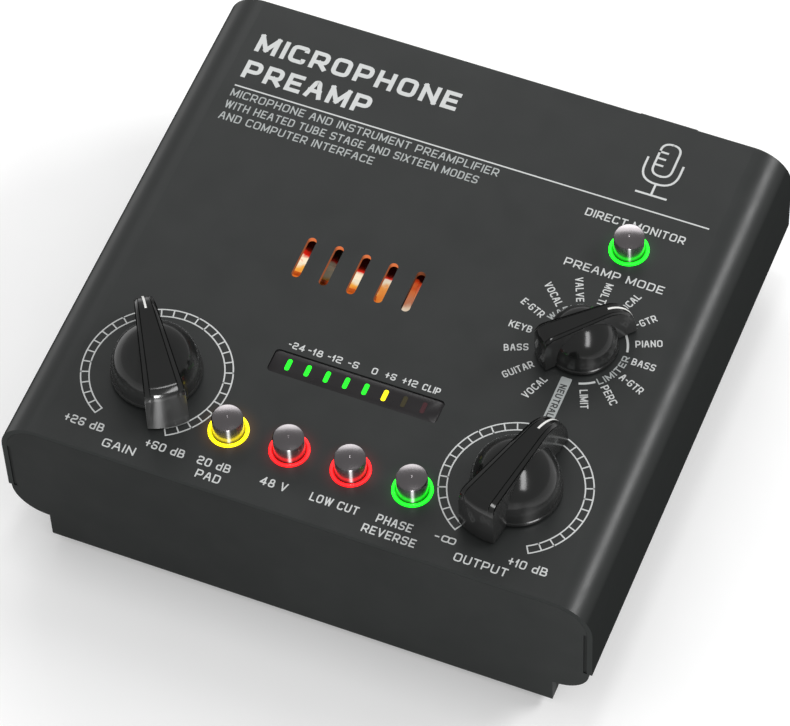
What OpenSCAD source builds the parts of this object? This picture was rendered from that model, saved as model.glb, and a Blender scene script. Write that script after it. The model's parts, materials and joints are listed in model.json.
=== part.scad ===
// Desktop microphone preamp with a vacuum tube stage.
// Origin: middle of the bounding box at the height of the surface it stands on.
// +X is the user's right, +Y goes from the front panel to the connectors, +Z is up.

/* [Case] */
// Width of the case
body_w = 134.6; // [132:0.1:138]
// Depth of the case without the connectors
body_d = 124.7; // [124:0.1:128]
// Height of the case without the feet
body_h = 39.5; // [39:0.1:41]
// Height of the rubber feet
feet_h = 2.0; // [1.5:0.1:3]
// Radius of the long upper shoulders
shoulder_r = 9.0; // [7:0.1:10]
// Radius of the long lower edges
lower_r = 7.9; // [7:0.1:8.5]
// Distance from the top down to the parting line
seam_drop = 24.4; // [23:0.1:25]
// How far the tray sits inside the cover at the parting line
seam_step = 0.65; // [0.3:0.05:0.9]
// Half the width of the plinth
plinth_half = 58.4; // [57.5:0.1:58.6]
// Sheet thickness of the cover
cover_wall = 1.2; // [1:0.1:1.4]
// Wall thickness of the tray
tray_wall = 2.0; // [1.6:0.1:2.2]
// Thickness of the front and rear panels
panel_t = 2.0; // [1.6:0.1:2.4]
// How far the rear latch stands out behind the case
rear_out = 3.4; // [3.3:0.1:4]

/* [Dials] */
// Left-right place of the gain dial
gain_x = -40.6; // [-41.5:0.1:-39]
// Left-right place of the output dial
output_x = 41.4; // [39:0.1:42]
// Distance of the gain and output dials from the front
dial_d = 23.4; // [22:0.1:25]
// Left-right place of the mode selector
mode_x = 41.5; // [40:0.1:42]
// Distance of the mode selector from the front
mode_d = 62.0; // [61:0.1:63]
// Where the gain pointer stands at rest, clockwise from straight back
gain_angle = -34; // [-140:1:140]
// Where the output pointer stands at rest
output_angle = 15; // [-140:1:140]
// Where the mode pointer stands at rest
mode_angle = 45; // [0:22.5:337.5]
// Radius of the large knobs' round skirt
knob_r = 9.9; // [9.5:0.1:10.5]
// Height of the large knobs above the panel
knob_h = 12.9; // [12.5:0.1:15]
// Radius of the mode knob's round skirt
mode_knob_r = 7.9; // [7.6:0.1:8.2]
// Height of the mode knob above the panel
mode_knob_h = 10.2; // [10:0.1:12]

/* [Buttons] */
// Distance between the four front buttons
button_pitch = 13.95; // [12:0.05:14.5]
// Left-right place of the middle of the four front buttons
button_mid = 0.4; // [-1:0.1:1]
// Distance of the front buttons from the front
button_d = 15.3; // [14:0.1:16]
// Radius of a button cap
cap_r = 3.4; // [3:0.05:3.4]
// Height of a cap above the panel
cap_h = 5.15; // [4:0.05:6]
// Radius of a light ring
ring_r = 4.4; // [4.2:0.05:4.8]
// Left-right place of the monitor button
monitor_x = 42.1; // [41:0.1:43]
// Distance of the monitor button from the front
monitor_d = 89.2; // [88:0.1:90]

/* [Meter and vents] */
// Length of the meter window
meter_w = 38.9; // [37:0.1:39]
// Width of the meter window
meter_l = 6.0; // [5:0.1:6]
// Left-right place of the meter
meter_x = 0.3; // [-1:0.1:1]
// Distance of the meter from the front
meter_d = 35.3; // [34:0.1:36]
// Distance between two lamps of the meter
lamp_pitch = 4.43; // [4.2:0.01:4.5]
// Distance between two vent slots
vent_pitch = 6.37; // [6:0.01:6.6]
// Length of a vent slot
vent_l = 11.0; // [9:0.1:12]
// Width of a vent slot
vent_w = 2.0; // [1.6:0.1:2.4]
// Distance of the vent slots' middle from the front
vent_d = 62.3; // [61:0.1:64]
// Left-right place of the middle vent slot
vent_x = -10.1; // [-11:0.1:-9]

/* [Tube] */
// Radius of the glass
tube_r = 10.6; // [10:0.1:10.8]
// Length of the glass without its tip
tube_l = 44; // [40:0.5:45]
// Distance of the tube's axis from the front
tube_d = 69; // [67:0.5:70]
// Height of the tube's axis
tube_z = 27; // [26.5:0.1:27.2]
// Left-right place of the base end of the glass
tube_x = -36; // [-37:0.5:-35]

/* [Connectors] */
// Left-right place of the microphone input
combo_x = 37.3; // [36:0.1:37.5]
// Left-right place of the jack output
jack_x = 13; // [12:0.1:14]
// Left-right place of the three-pin output
xlr_x = -12; // [-13:0.1:-11]
// Left-right place of the power inlet
inlet_x = -32; // [-33:0.1:-31]
// Left-right place of the power button
power_x = -43.5; // [-44:0.1:-43]
// Height of the power inlet and button
power_z = 29; // [27:0.1:32]
// Left-right place of the computer port
usb_x = -37.5; // [-38:0.1:-37]
// Bore of the two jack sockets
jack_bore_r = 3.25; // [3.2:0.01:3.3]

/* [Hidden] */
$fn = 64;

// Levels and limits of the case
front_y = -(body_d + rear_out) / 2;
rear_y = front_y + body_d;
top_z = feet_h + body_h;
under_z = top_z - cover_wall;
seam_z = top_z - seam_drop;
floor_z = feet_h + tray_wall;
lower_x = body_w / 2 - seam_step - lower_r;
fit = 0.05;
cut = 1;

// Boards and what stands on them
board_t = 1.6;
main_z = floor_z + 4;
main_top = main_z + board_t;
main_half = 48.5;
control_z = under_z - 12.3;
control_top = control_z + board_t;
control_half = 49;
arm_x = 28;

// Case screws
post_x = 53;
post_r = 3.2;
post_z = floor_z + 4;
front_post_d = 8.5;
rear_post_d = body_d - front_post_d;
boss_r = 4;
case_screw_r = 1.4;
case_head_r = 2.8;

// Dial hardware: pot, bushing, washer, nut, shaft
pot_side = 16;
pot_h = 7.2;
encoder_side = 13;
bushing_r = 3.5;
bushing_top = top_z + 2.6;
washer_t = 0.5;
nut_h = 1.9;
shaft_r = 3.0;
knob_gap = 0.4;

// Knob outlines: how far the tail and the nose reach, and half their widths
tail_reach = 14.7;
nose_reach = 16.2;
tail_half = 4.5;
nose_half = 1.8;
mode_tail_reach = 10.2;
mode_nose_reach = 12.2;
mode_tail_half = 2.9;
mode_nose_half = 1.5;
flat_share = 0.42;
tail_round = 2;
bar_foot = knob_gap + 0.8;
pointer_w = 0.5;
pointer_depth = 0.4;
pointer_from = 88;
pointer_to = 4;

// Buttons
button_x = [for (i = [-1.5 : 1.5]) button_mid + i * button_pitch];
button_travel = 1.5;
stem_r = 1.6;
switch_side = 8.4;
switch_h = 7.6;
ring_inner_r = cap_r + 0.1;
ring_proud = 0.3;
ring_flange = 0.9;

// Meter lamps
lamp_count = 8;
lamp_w = 1.0;
lamp_l = 2.9;
window_sink = 0.25;
window_t = 1.0;
window_round = 1.0;

// Connectors
port_z = top_z - body_h / 2;
flange_w = 26;
flange_h = 31;
flange_t = 1.6;
barrel_r = 12;
screw_dx = 9.5;
screw_dz = 12;
port_screw_r = 1.25;
port_head_r = 2.2;
pin_r = 1.19;
pin_circle = 5.0;
combo_groove = [8.0, 9.75];
latch_w = 14.4;
latch_h = 3.0;
latch_travel = 1.2;
tongue_w = 6;
usb_w = 12;
usb_h = 10.9;
usb_wall = 1.7;
usb_gap = 0.2;
usb_socket = 9;
usb_chamfer = 1.9;
usb_depth = 17;

function from_front(d) = front_y + d;
function arc_points(c, r, from, to, steps) =
  [for (i = [0 : steps]) let (a = from + (to - from) * i / steps) c + [r[0] * cos(a), r[1] * sin(a)]];

// Extrudes a drawing in x and z along the depth
module along_y(from, to) {
  translate([0, to, 0]) rotate([90, 0, 0]) linear_extrude(to - from) children();
}

// A round bar along the depth
module bar_y(x, z, r, from, to) {
  translate([x, to, z]) rotate([90, 0, 0]) cylinder(r = r, h = to - from);
}

module box(low, high) {
  translate(low) cube(high - low);
}

module at_panel(x, d, z = 0) {
  translate([x, from_front(d), z]) children();
}

// Outline of the cover, moved inwards by inset, down to foot_z
module upper_outline(inset, foot_z = seam_z) {
  r = shoulder_r - inset;
  half = body_w / 2 - inset;
  top = top_z - inset;
  translate([-half, foot_z]) square([2 * half, top - r - foot_z]);
  translate([r - half, top - r - cut]) square([2 * (half - r), r + cut]);
  for (side = [-1, 1]) translate([side * (half - r), top - r]) circle(r);
}

// Outline of the tray with its rounded edges and plinth
module lower_outline(inset, top = seam_z) {
  r = lower_r - inset;
  half = plinth_half - inset;
  intersection() {
    union() {
      for (side = [-1, 1]) translate([side * lower_x, seam_z]) circle(r);
      translate([-lower_x, seam_z - r]) square([2 * lower_x, r + cut]);
      translate([-lower_x - r, seam_z]) square([2 * (lower_x + r), cut]);
      translate([-half, feet_h + inset]) square([2 * half, seam_z - feet_h - inset]);
    }
    translate([-body_w, 0]) square([2 * body_w, top]);
  }
}

module panel_outline() {
  gap = 0.8;
  difference() {
    union() {
      upper_outline(cover_wall + fit);
      lower_outline(0);
    }
    for (side = [-1, 1])
      translate([side * (body_w / 2 - cover_wall - gap / 2), seam_z + (seam_drop - shoulder_r) / 2])
        square([gap, seam_drop - shoulder_r], center = true);
  }
}

module corner_places() {
  for (x = [-post_x, post_x])
    for (d = [front_post_d, rear_post_d])
      at_panel(x, d) children();
}

module button_places() {
  for (x = button_x) at_panel(x, button_d) children();
  at_panel(monitor_x, monitor_d) children();
}

module dial_places() {
  at_panel(gain_x, dial_d) children();
  at_panel(output_x, dial_d) children();
  at_panel(mode_x, mode_d) children();
}

module rounded(w, l, r) {
  square([w - 2 * r, l], center = true);
  square([w, l - 2 * r], center = true);
  for (x = [-1, 1]) for (y = [-1, 1]) translate([x * (w / 2 - r), y * (l / 2 - r)]) circle(r);
}

module slot_shape(w, l) {
  square([w, l - w], center = true);
  for (side = [-1, 1]) translate([0, side * (l - w) / 2]) circle(w / 2);
}

// ---- Case ----

module top_cover() {
  color("#3d3f3e") difference() {
    union() {
      along_y(front_y, rear_y) difference() {
        upper_outline(0);
        upper_outline(cover_wall, seam_z - cut);
      }
      corner_places() translate([0, 0, post_z]) cylinder(r = post_r, h = under_z - post_z + fit);
    }
    corner_places() translate([0, 0, post_z - cut]) cylinder(r = case_screw_r + fit, h = 12 + cut);
    dial_places() translate([0, 0, under_z - cut]) cylinder(r = bushing_r + 0.1, h = 4);
    button_places() translate([0, 0, under_z - cut]) cylinder(r = ring_r + fit, h = 4);
    for (i = [-2 : 2])
      at_panel(vent_x + i * vent_pitch, vent_d, under_z - cut)
        linear_extrude(4) slot_shape(vent_w, vent_l);
    at_panel(meter_x, meter_d, under_z - cut) linear_extrude(4) rounded(meter_w, meter_l, window_round);
  }
}

module bottom_tray() {
  color("#2c2d2d") difference() {
    union() {
      along_y(front_y + panel_t, rear_y - panel_t) difference() {
        lower_outline(0);
        lower_outline(tray_wall, seam_z + cut);
      }
      corner_places() translate([0, 0, feet_h + fit]) cylinder(r = boss_r, h = post_z - feet_h - fit);
      board_screw_places() translate([0, 0, feet_h + cut]) cylinder(r = 3, h = main_z - feet_h - cut);
    }
    corner_places() {
      translate([0, 0, feet_h - cut]) cylinder(r = case_head_r + 0.3, h = 3 + cut);
      cylinder(r = case_screw_r + 0.2, h = post_z + cut);
    }
    board_screw_places() translate([0, 0, floor_z]) cylinder(r = 1.25, h = 8);
  }
}

module front_panel() {
  color("#303131") along_y(front_y, front_y + panel_t) panel_outline();
}

module rear_panel() {
  color("#303131") difference() {
    along_y(rear_y - panel_t, rear_y) panel_outline();
    for (x = [combo_x, xlr_x]) {
      bar_y(x, port_z, barrel_r + 0.1, rear_y - panel_t - cut, rear_y + cut);
      port_screw_places(x) bar_y(0, 0, port_screw_r + 0.1, rear_y - panel_t - cut, rear_y + cut);
    }
    box([combo_x - tongue_w / 2 - 0.2, rear_y - panel_t - cut, port_z + 8],
        [combo_x + tongue_w / 2 + 0.2, rear_y + cut, latch_top() + 0.2]);
    bar_y(jack_x, port_z, 5.6, rear_y - panel_t - cut, rear_y + cut);
    bar_y(inlet_x, power_z, 4.6, rear_y - panel_t - cut, rear_y + cut);
    bar_y(power_x, power_z, 4.1, rear_y - panel_t - cut, rear_y + cut);
    along_y(rear_y - panel_t - cut, rear_y + cut) usb_outline(-usb_gap);
  }
}

module case_screws() {
  color("#1f1f1f") corner_places() {
    translate([0, 0, feet_h + 1]) cylinder(r = case_head_r, h = 2);
    translate([0, 0, feet_h + 2]) cylinder(r = case_screw_r, h = 13);
  }
}

module rubber_feet() {
  color("#141414") for (x = [-46, 46]) for (d = [14, body_d - 14])
    at_panel(x, d) rotate_extrude()
      polygon([[0, 0], [4.6, 0], [5.4, feet_h / 2], [5.4, feet_h], [0, feet_h]]);
}

// ---- Dials ----

// Plan of the bar: a wedge with a round tail
module bar_plan(tail, nose, tail_w, nose_w) {
  wedge = [[-tail_w, -tail], [tail_w, -tail], [nose_w, nose], [-nose_w, nose]];
  intersection() {
    polygon(wedge);
    circle(tail);
  }
  intersection() {
    polygon(wedge);
    translate([-tail, 0]) square([2 * tail, nose]);
  }
}

// Side view of the bar: flat top, rounded tail and a long falling nose
module bar_side(tail, nose, h) {
  flat_end = nose * flat_share;
  polygon(concat(
    [[-tail - fit, knob_gap]],
    arc_points([tail_round - tail, h - tail_round], [tail_round, tail_round], 180, 90, 5),
    arc_points([flat_end, bar_foot], [nose - flat_end, h - bar_foot], 90, 0, 10),
    [[nose, knob_gap]]
  ));
}

// Side view of the white line let into the nose, standing out by proud
module pointer_side(nose, h, proud) {
  centre = [nose * flat_share, bar_foot];
  outer = [nose, h] - centre;
  polygon(concat(
    arc_points(centre, outer + [proud, proud], pointer_from, pointer_to, 10),
    arc_points(centre, outer - [pointer_depth, pointer_depth], pointer_to, pointer_from, 10)
  ));
}

module upright(w) {
  rotate([90, 0, 90]) translate([0, 0, -w / 2]) linear_extrude(w) children();
}

module knob(r, h, tail, nose, tail_w, nose_w, cavity_r) {
  dome_foot = h - r - 0.2;
  difference() {
    union() {
      translate([0, 0, knob_gap]) cylinder(r = r, h = dome_foot - knob_gap);
      intersection() {
        translate([0, 0, dome_foot]) sphere(r);
        translate([-r, -r, dome_foot]) cube([2 * r, 2 * r, r]);
      }
      intersection() {
        translate([0, 0, knob_gap]) linear_extrude(h) bar_plan(tail, nose, tail_w, nose_w);
        upright(2 * tail_w + 2) bar_side(tail, nose, h);
      }
    }
    translate([0, 0, -cut]) cylinder(r = shaft_r + 0.02, h = h - 3.4 + cut);
    translate([0, 0, -cut]) cylinder(r = cavity_r, h = 4);
    upright(pointer_w) pointer_side(nose, h, fit);
  }
}

module pointer(nose, h) {
  upright(pointer_w - 0.02) pointer_side(nose, h, 0);
}

module large_knob() {
  knob(knob_r, knob_h, tail_reach, nose_reach, tail_half, nose_half, 7);
}

module shaft(length) {
  translate([0, 0, control_top + 1.2]) cylinder(r = shaft_r - 0.6, h = 2);
  translate([0, 0, control_top + 3]) cylinder(r = shaft_r, h = length);
}

module pot(side, h) {
  difference() {
    union() {
      translate([-side / 2, -side / 2, control_top]) cube([side, side, h]);
      translate([0, 0, control_top + h - fit]) cylinder(r = bushing_r, h = bushing_top - control_top - h);
    }
    translate([0, 0, control_top + 1]) cylinder(r = shaft_r + fit, h = 30);
  }
}

module gain_knob() {
  color("#17181a") at_panel(gain_x, dial_d, top_z) rotate(-gain_angle) large_knob();
}

module output_knob() {
  color("#17181a") at_panel(output_x, dial_d, top_z) rotate(-output_angle) large_knob();
}

module mode_knob() {
  color("#17181a") at_panel(mode_x, mode_d, top_z) rotate(-mode_angle)
    knob(mode_knob_r, mode_knob_h, mode_tail_reach, mode_nose_reach, mode_tail_half, mode_nose_half, 6);
}

module gain_pointer() {
  color("white") at_panel(gain_x, dial_d, top_z) rotate(-gain_angle) pointer(nose_reach, knob_h);
}

module output_pointer() {
  color("white") at_panel(output_x, dial_d, top_z) rotate(-output_angle) pointer(nose_reach, knob_h);
}

module mode_pointer() {
  color("white") at_panel(mode_x, mode_d, top_z) rotate(-mode_angle) pointer(mode_nose_reach, mode_knob_h);
}

module gain_shaft() {
  color("silver") at_panel(gain_x, dial_d) shaft(top_z + knob_h - 3.5 - control_top - 3);
}

module output_shaft() {
  color("silver") at_panel(output_x, dial_d) shaft(top_z + knob_h - 3.5 - control_top - 3);
}

module mode_shaft() {
  color("silver") at_panel(mode_x, mode_d) shaft(top_z + mode_knob_h - 3.5 - control_top - 3);
}

module gain_pot() {
  color("dimgray") at_panel(gain_x, dial_d) pot(pot_side, pot_h);
}

module output_pot() {
  color("dimgray") at_panel(output_x, dial_d) pot(pot_side, pot_h);
}

module mode_encoder() {
  color("dimgray") at_panel(mode_x, mode_d) pot(encoder_side, pot_h);
}

module shaft_washers() {
  color("silver") dial_places() translate([0, 0, top_z]) difference() {
    cylinder(r = 5.2, h = washer_t);
    translate([0, 0, -cut]) cylinder(r = bushing_r + fit, h = 3);
  }
}

module shaft_nuts() {
  color("silver") dial_places() translate([0, 0, top_z + washer_t]) difference() {
    cylinder(r = 5.2, h = nut_h, $fn = 6);
    translate([0, 0, -cut]) cylinder(r = bushing_r + fit, h = nut_h + 2 * cut);
  }
}

// ---- Buttons ----

module button_cap() {
  dome_h = 0.5;
  stem_foot = control_top + switch_h - 2.6;
  rotate_extrude() polygon(concat(
    [[0, stem_foot], [stem_r, stem_foot], [stem_r, under_z - 1], [cap_r, under_z - 1],
     [cap_r, top_z + cap_h - dome_h - 0.4]],
    arc_points([cap_r - 0.4, top_z + cap_h - dome_h - 0.4], [0.4, 0.4], 15, 75, 4),
    [for (i = [5 : -1 : 0]) let (s = (cap_r - 0.6) * i / 5)
      [s, top_z + cap_h - dome_h * pow(s / cap_r, 2)]]
  ));
}

module light_ring() {
  foot = under_z - ring_flange - fit;
  rotate_extrude() polygon([
    [ring_inner_r, foot], [ring_r + 0.8, foot], [ring_r + 0.8, under_z - fit], [ring_r, under_z - fit],
    [ring_r, top_z + ring_proud / 2], [ring_r - 0.2, top_z + ring_proud],
    [ring_inner_r, top_z + ring_proud]
  ]);
}

module pad_button() {
  color("#4a4b4e") at_panel(button_x[0], button_d) button_cap();
}

module phantom_button() {
  color("#4a4b4e") at_panel(button_x[1], button_d) button_cap();
}

module low_cut_button() {
  color("#4a4b4e") at_panel(button_x[2], button_d) button_cap();
}

module phase_button() {
  color("#4a4b4e") at_panel(button_x[3], button_d) button_cap();
}

module monitor_button() {
  color("#4a4b4e") at_panel(monitor_x, monitor_d) button_cap();
}

module pad_light_ring() {
  color("#fff200") at_panel(button_x[0], button_d) light_ring();
}

module phantom_light_ring() {
  color("#ff2a10") at_panel(button_x[1], button_d) light_ring();
}

module low_cut_light_ring() {
  color("#ff2a10") at_panel(button_x[2], button_d) light_ring();
}

module phase_light_ring() {
  color("#30e020") at_panel(button_x[3], button_d) light_ring();
}

module monitor_light_ring() {
  color("#30e020") at_panel(monitor_x, monitor_d) light_ring();
}

module push_switches() {
  color("#f0f0ea") button_places() difference() {
    translate([-switch_side / 2, -switch_side / 2, control_top]) cube([switch_side, switch_side, switch_h]);
    translate([0, 0, control_top + switch_h - 2.6 - button_travel - 0.3]) cylinder(r = stem_r + fit, h = 9);
  }
}

// ---- Meter ----

function lamp_x(i) = meter_x + (i - (lamp_count - 1) / 2) * lamp_pitch;

module meter_window() {
  face = top_z - window_sink;
  color("#101214") difference() {
    union() {
      at_panel(meter_x, meter_d, face - window_t)
        linear_extrude(window_t) rounded(meter_w - 2 * fit, meter_l - 2 * fit, window_round);
      at_panel(meter_x, meter_d, face - window_t - 0.8)
        linear_extrude(0.8 + window_t - (face - under_z) - fit)
          square([meter_w + 3, meter_l + 3], center = true);
    }
    for (i = [0 : lamp_count - 1])
      at_panel(lamp_x(i), meter_d, 30) linear_extrude(20) slot_shape(lamp_w + 2 * fit, lamp_l + 2 * fit);
  }
}

module lamp(i) {
  at_panel(lamp_x(i), meter_d) {
    translate([-1.3, -2.2, control_top]) cube([2.6, 4.4, 6]);
    translate([0, 0, control_top + 5])
      linear_extrude(top_z - window_sink - control_top - 5) slot_shape(lamp_w, lamp_l);
  }
}

module green_meter_leds() {
  color("#30e020") for (i = [0 : 4]) lamp(i);
}

module yellow_meter_leds() {
  color("#ffe000") for (i = [5 : 6]) lamp(i);
}

module red_meter_led() {
  color("#a01010") lamp(7);
}

// ---- Boards ----

module board_screw_places() {
  for (x = [-43.5, 43.5]) for (d = [11, 96]) at_panel(x, d) children();
}

module spacer_places() {
  for (p = [[-45, 41], [45, 41], [0, 8.5], [33, 78]]) at_panel(p[0], p[1]) children();
}

module control_board() {
  color("#1d5a34") difference() {
    union() {
      box([-control_half, from_front(5), control_z], [control_half, from_front(46), control_top]);
      box([arm_x, from_front(45), control_z], [control_half, from_front(98), control_top]);
    }
    spacer_places() translate([0, 0, control_z - cut]) cylinder(r = 1.3, h = 4);
  }
}

module board_spacers() {
  color("#e8e8e0") spacer_places() {
    translate([0, 0, main_top]) cylinder(r = 2.5, h = control_z - main_top);
    translate([0, 0, control_z - cut]) cylinder(r = 1.2, h = board_t + 2 * cut);
  }
}

module board_header() {
  color("#222222") box([-24, from_front(40.5), main_top], [-3, from_front(43.5), control_z]);
}

module main_board() {
  color("#1d5a34") difference() {
    box([-main_half, from_front(5), main_z], [main_half, rear_y - 5, main_top]);
    board_screw_places() translate([0, 0, main_z - cut]) cylinder(r = 1.3, h = 4);
  }
}

module board_screws() {
  color("silver") board_screw_places() {
    translate([0, 0, main_top]) cylinder(r = 2.6, h = 1.6);
    translate([0, 0, floor_z + 0.2]) cylinder(r = 1.2, h = main_top - floor_z);
  }
}

module capacitors() {
  color("#23325c") {
    for (x = [-34, -23, -12, -1]) for (d = [22, 32]) at_panel(x, d, main_top) capacitor(4, 12);
    for (d = [56, 69, 82]) at_panel(20, d, main_top) capacitor(5, 16);
  }
}

module capacitor(r, h) {
  cylinder(r = r, h = h - 0.5);
  translate([0, 0, h - 0.6]) cylinder(r = r - 0.5, h = 0.6);
}

module amplifier_chips() {
  color("#1a1a1a") for (x = [12, 25, 38]) for (d = [20, 32])
    at_panel(x, d, main_top) translate([-4.8, -3.2, 0]) cube([9.6, 6.4, 3.6]);
}

module glow_leds() {
  color("#ff8a20") for (x = [-26, -12, 2]) at_panel(x, tube_d, main_top) {
    cylinder(r = 2.5, h = 3.4);
    translate([0, 0, 3.4]) sphere(2.5);
  }
}

// ---- Tube, lying across the case ----

module along_tube() {
  at_panel(tube_x, tube_d, tube_z) rotate([0, 90, 0]) children();
}

module tube_glass() {
  wall = 0.9;
  tip_r = 1.6;
  color([0.85, 0.87, 0.85, 0.35]) along_tube() difference() {
    union() {
      cylinder(r = tube_r, h = tube_l - tube_r * 0.6);
      rotate_extrude() polygon(concat(
        [[0, tube_l - tube_r * 0.6 - fit]],
        arc_points([0, tube_l - tube_r * 0.6 - fit], [tube_r, tube_r * 0.6 + fit], 0, 90, 16)
      ));
      translate([0, 0, tube_l - cut]) cylinder(r = tip_r, h = cut + 1.5);
      translate([0, 0, tube_l + 1.5]) sphere(tip_r);
    }
    translate([0, 0, 3]) cylinder(r = tube_r - wall, h = tube_l - tube_r * 0.6 - 3);
  }
}

module tube_plates() {
  color("#55585c") along_tube() {
    for (side = [-1, 1]) translate([0, side * 3.7, 6]) difference() {
      translate([-3, -3, 0]) cube([6, 6, 24]);
      translate([-2.2, -2.2, -cut]) cube([4.4, 4.4, 26]);
    }
    for (z = [5, 30]) translate([0, 0, z]) cylinder(r = tube_r - 1.2, h = 1);
    for (side = [-1, 1]) translate([0, side * 3.7, 3]) cylinder(r = 0.9, h = 30);
    for (a = [45 : 90 : 315]) rotate(a) translate([7.6, 0, 3]) cylinder(r = 0.5, h = 27);
    translate([0, 0, 32.5]) difference() {
      cylinder(r = 3.2, h = 1);
      translate([0, 0, -cut]) cylinder(r = 2.2, h = 3);
    }
    translate([2.7, 0, 30]) cylinder(r = 0.4, h = 3);
  }
}

module tube_pin_places() {
  for (i = [0 : 8]) rotate(i * 36) translate([5.95, 0, 0]) children();
}

module tube_pins() {
  color("silver") along_tube() tube_pin_places() translate([0, 0, -6.5]) {
    cylinder(r = 0.5, h = 6.5);
    sphere(0.5);
  }
}

module tube_socket() {
  color("#e9e6dc") along_tube() difference() {
    translate([0, 0, -7.6]) cylinder(r = 10.4, h = 7.4);
    translate([0, 0, -9]) cylinder(r = 2.2, h = 10);
    tube_pin_places() translate([0, 0, -9]) cylinder(r = 0.65, h = 10);
  }
}

module socket_board() {
  color("#1d5a34") at_panel(tube_x - 7.6 - board_t, tube_d - 12, main_top)
    cube([board_t, 24, under_z - main_top - 1.5]);
}

// ---- Connectors ----

function latch_top() = port_z + flange_h / 2 - 0.2;

module port_screw_places(x) {
  for (side = [-1, 1])
    translate([x - side * screw_dx, 0, port_z + side * screw_dz]) children();
}

module flange(x) {
  along_y(rear_y, rear_y + flange_t) difference() {
    translate([x, port_z]) union() {
      square([flange_w - 4, flange_h], center = true);
      square([flange_w, flange_h - 4], center = true);
      for (dx = [-1, 1]) for (dz = [-1, 1])
        translate([dx * (flange_w / 2 - 2), dz * (flange_h / 2 - 2)]) circle(2);
    }
    for (side = [-1, 1])
      translate([x - side * screw_dx, port_z + side * screw_dz]) circle(port_screw_r + 0.1);
  }
}

module pin_circle_places(x) {
  for (a = [90 - 52, 90 + 52, 270])
    translate([x + pin_circle * cos(a), 0, port_z + pin_circle * sin(a)]) children();
}

module combo_jack() {
  back = rear_y - 22;
  mouth = rear_y + flange_t;
  color("#1b1c1e") difference() {
    union() {
      flange(combo_x);
      bar_y(combo_x, port_z, barrel_r, back, rear_y + fit);
    }
    difference() {
      bar_y(combo_x, port_z, combo_groove[1], mouth - 14, mouth + cut);
      bar_y(combo_x, port_z, combo_groove[0], mouth - 15, mouth + 2);
    }
    bar_y(combo_x, port_z, jack_bore_r, back + 2, mouth + cut);
    pin_circle_places(combo_x) bar_y(0, 0, pin_r + 0.2, mouth - 14, mouth + cut);
    box([combo_x - tongue_w / 2 - 0.2, rear_y - cut, latch_top() - latch_h - latch_travel - 0.2],
        [combo_x + tongue_w / 2 + 0.2, mouth + cut, latch_top() + 2]);
  }
}

module combo_contacts() {
  mouth = rear_y + flange_t;
  color("gold") pin_circle_places(combo_x) bar_y(0, 0, pin_r + 0.15, mouth - 14, mouth - 12.5);
}

module combo_latch() {
  mouth = rear_y + flange_t;
  half = latch_w / 2;
  top = latch_top();
  color("#1b1c1e") {
    along_y(mouth + fit, rear_y + rear_out) polygon([
      [combo_x - half, top - latch_h], [combo_x + half, top - latch_h],
      [combo_x + half, top - 0.6], [combo_x + half - 0.6, top],
      [combo_x - half + 0.6, top], [combo_x - half, top - 0.6]
    ]);
    box([combo_x - tongue_w / 2, rear_y - 5, top - 1.6],
        [combo_x + tongue_w / 2, mouth + 2 * fit, top]);
  }
}

module xlr_output() {
  depth = 13.5;
  color("#1b1c1e") difference() {
    union() {
      flange(xlr_x);
      bar_y(xlr_x, port_z, barrel_r, rear_y - depth, rear_y + fit);
    }
    bar_y(xlr_x, port_z, 9.6, rear_y - depth + 2.5, rear_y + flange_t + cut);
    xlr_pin_places() bar_y(0, 0, pin_r + 0.01, rear_y - depth - cut, rear_y);
  }
}

module xlr_pin_places() {
  for (a = [90 - 52, 90 + 52, 270])
    translate([xlr_x + 4.95 * cos(a), 0, port_z + 4.95 * sin(a)]) children();
}

module xlr_pins() {
  color("silver") xlr_pin_places() {
    bar_y(0, 0, pin_r, rear_y - 16, rear_y + 0.4);
    translate([0, rear_y + 0.4, 0]) sphere(pin_r);
  }
}

module jack_output() {
  color("#1b1c1e") difference() {
    union() {
      box([jack_x - 7.5, rear_y - panel_t - 24, port_z - 8], [jack_x + 7.5, rear_y - panel_t, port_z + 8]);
      bar_y(jack_x, port_z, 5.5, rear_y - panel_t - fit, rear_y + 3.2);
    }
    bar_y(jack_x, port_z, jack_bore_r, rear_y - panel_t - 22, rear_y + 4);
  }
}

module jack_nut() {
  color("silver") difference() {
    translate([jack_x, rear_y, port_z]) rotate([-90, 0, 0]) cylinder(r = 8, h = 2.2, $fn = 6);
    bar_y(jack_x, port_z, 5.5 + fit, rear_y - cut, rear_y + 4);
  }
}

module connector_screws() {
  color("#1f1f1f") for (x = [combo_x, xlr_x]) port_screw_places(x) {
    bar_y(0, 0, port_head_r, rear_y + flange_t, rear_y + flange_t + 1.4);
    bar_y(0, 0, port_screw_r, rear_y - panel_t - 2, rear_y + flange_t + fit);
  }
}

// Port outline: a box with its two upper corners cut off, moved inwards by inset
module usb_outline(inset) {
  half = usb_w / 2 - inset;
  low = main_top + inset;
  high = main_top + usb_h - inset;
  corner = usb_chamfer - 0.4 * inset;
  translate([usb_x, 0]) polygon([
    [-half, low], [half, low], [half, high - corner], [half - corner, high],
    [corner - half, high], [-half, high - corner]
  ]);
}

module usb_port() {
  back = rear_y - usb_depth;
  mouth = rear_y + 0.6;
  middle = main_top + usb_h / 2;
  color("silver") difference() {
    along_y(back, mouth) usb_outline(fit);
    along_y(mouth - usb_socket, mouth + cut) usb_outline(usb_wall);
  }
  color("#1b1c1e")
    box([usb_x - 2.8, mouth - usb_socket - fit, middle - 1.6], [usb_x + 2.8, mouth - 1.2, middle + 1.6]);
}

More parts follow.
